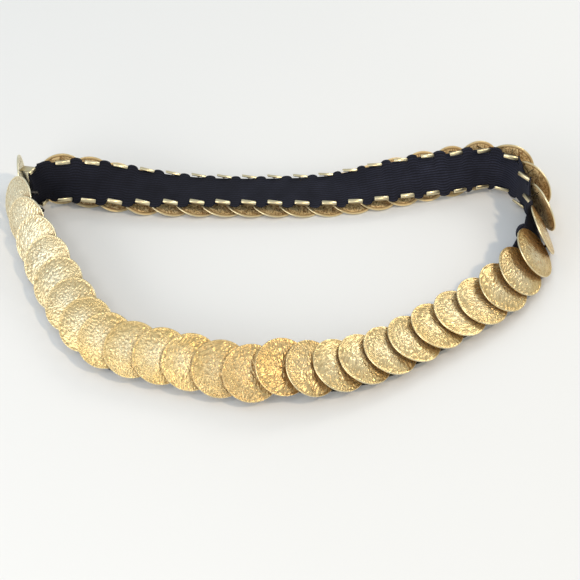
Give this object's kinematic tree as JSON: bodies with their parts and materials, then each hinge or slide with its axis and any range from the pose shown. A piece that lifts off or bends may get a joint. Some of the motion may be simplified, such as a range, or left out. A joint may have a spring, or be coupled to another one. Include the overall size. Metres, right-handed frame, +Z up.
{
  "type": "coin belt",
  "caption": "Stretch coin belt lying on a table: overlapping hammered gold-tone coins clipped round a loop of wide black elastic, fastened in front.",
  "frame": {"origin": "centre of the belt's plan box, on the table that it lies on", "axes": "+Z up from the table, +X to the belt's right along its straight back run, +Y from the clasp at the front towards the back run"},
  "size_m": [0.316, 0.1824, 0.0297],
  "materials": {
    "elastic": "navy-black ribbed woven elastic, matt",
    "coin_gold": "pale gold plate, hammered fronts, satin",
    "clasp": "pale gold plate, satin"
  },
  "bodies": {
    "root": {"elastic_band": "elastic", "coin_01": "coin_gold", "coin_02": "coin_gold", "coin_03": "coin_gold", "coin_04": "coin_gold", "coin_05": "coin_gold", "coin_06": "coin_gold", "coin_07": "coin_gold", "coin_08": "coin_gold", "coin_09": "coin_gold", "coin_10": "coin_gold", "coin_11": "coin_gold", "coin_12": "coin_gold", "coin_13": "coin_gold", "coin_14": "coin_gold", "coin_15": "coin_gold", "coin_16": "coin_gold", "coin_17": "coin_gold", "coin_18": "coin_gold", "coin_19": "coin_gold", "coin_20": "coin_gold", "coin_21": "coin_gold", "coin_22": "coin_gold", "coin_23": "coin_gold", "coin_24": "coin_gold", "coin_25": "coin_gold", "coin_26": "coin_gold", "coin_27": "coin_gold", "coin_28": "coin_gold", "coin_29": "coin_gold", "coin_30": "coin_gold", "coin_31": "coin_gold", "coin_32": "coin_gold", "coin_33": "coin_gold", "coin_34": "coin_gold", "coin_35": "coin_gold", "coin_36": "coin_gold", "coin_37": "coin_gold", "coin_38": "coin_gold", "coin_39": "coin_gold", "coin_40": "coin_gold", "coin_41": "coin_gold", "coin_42": "coin_gold", "coin_43": "coin_gold", "coin_44": "coin_gold", "coin_45": "coin_gold", "coin_46": "coin_gold", "coin_47": "coin_gold", "hook_end": "clasp", "eye_end": "clasp"}
  },
  "joints": []
}
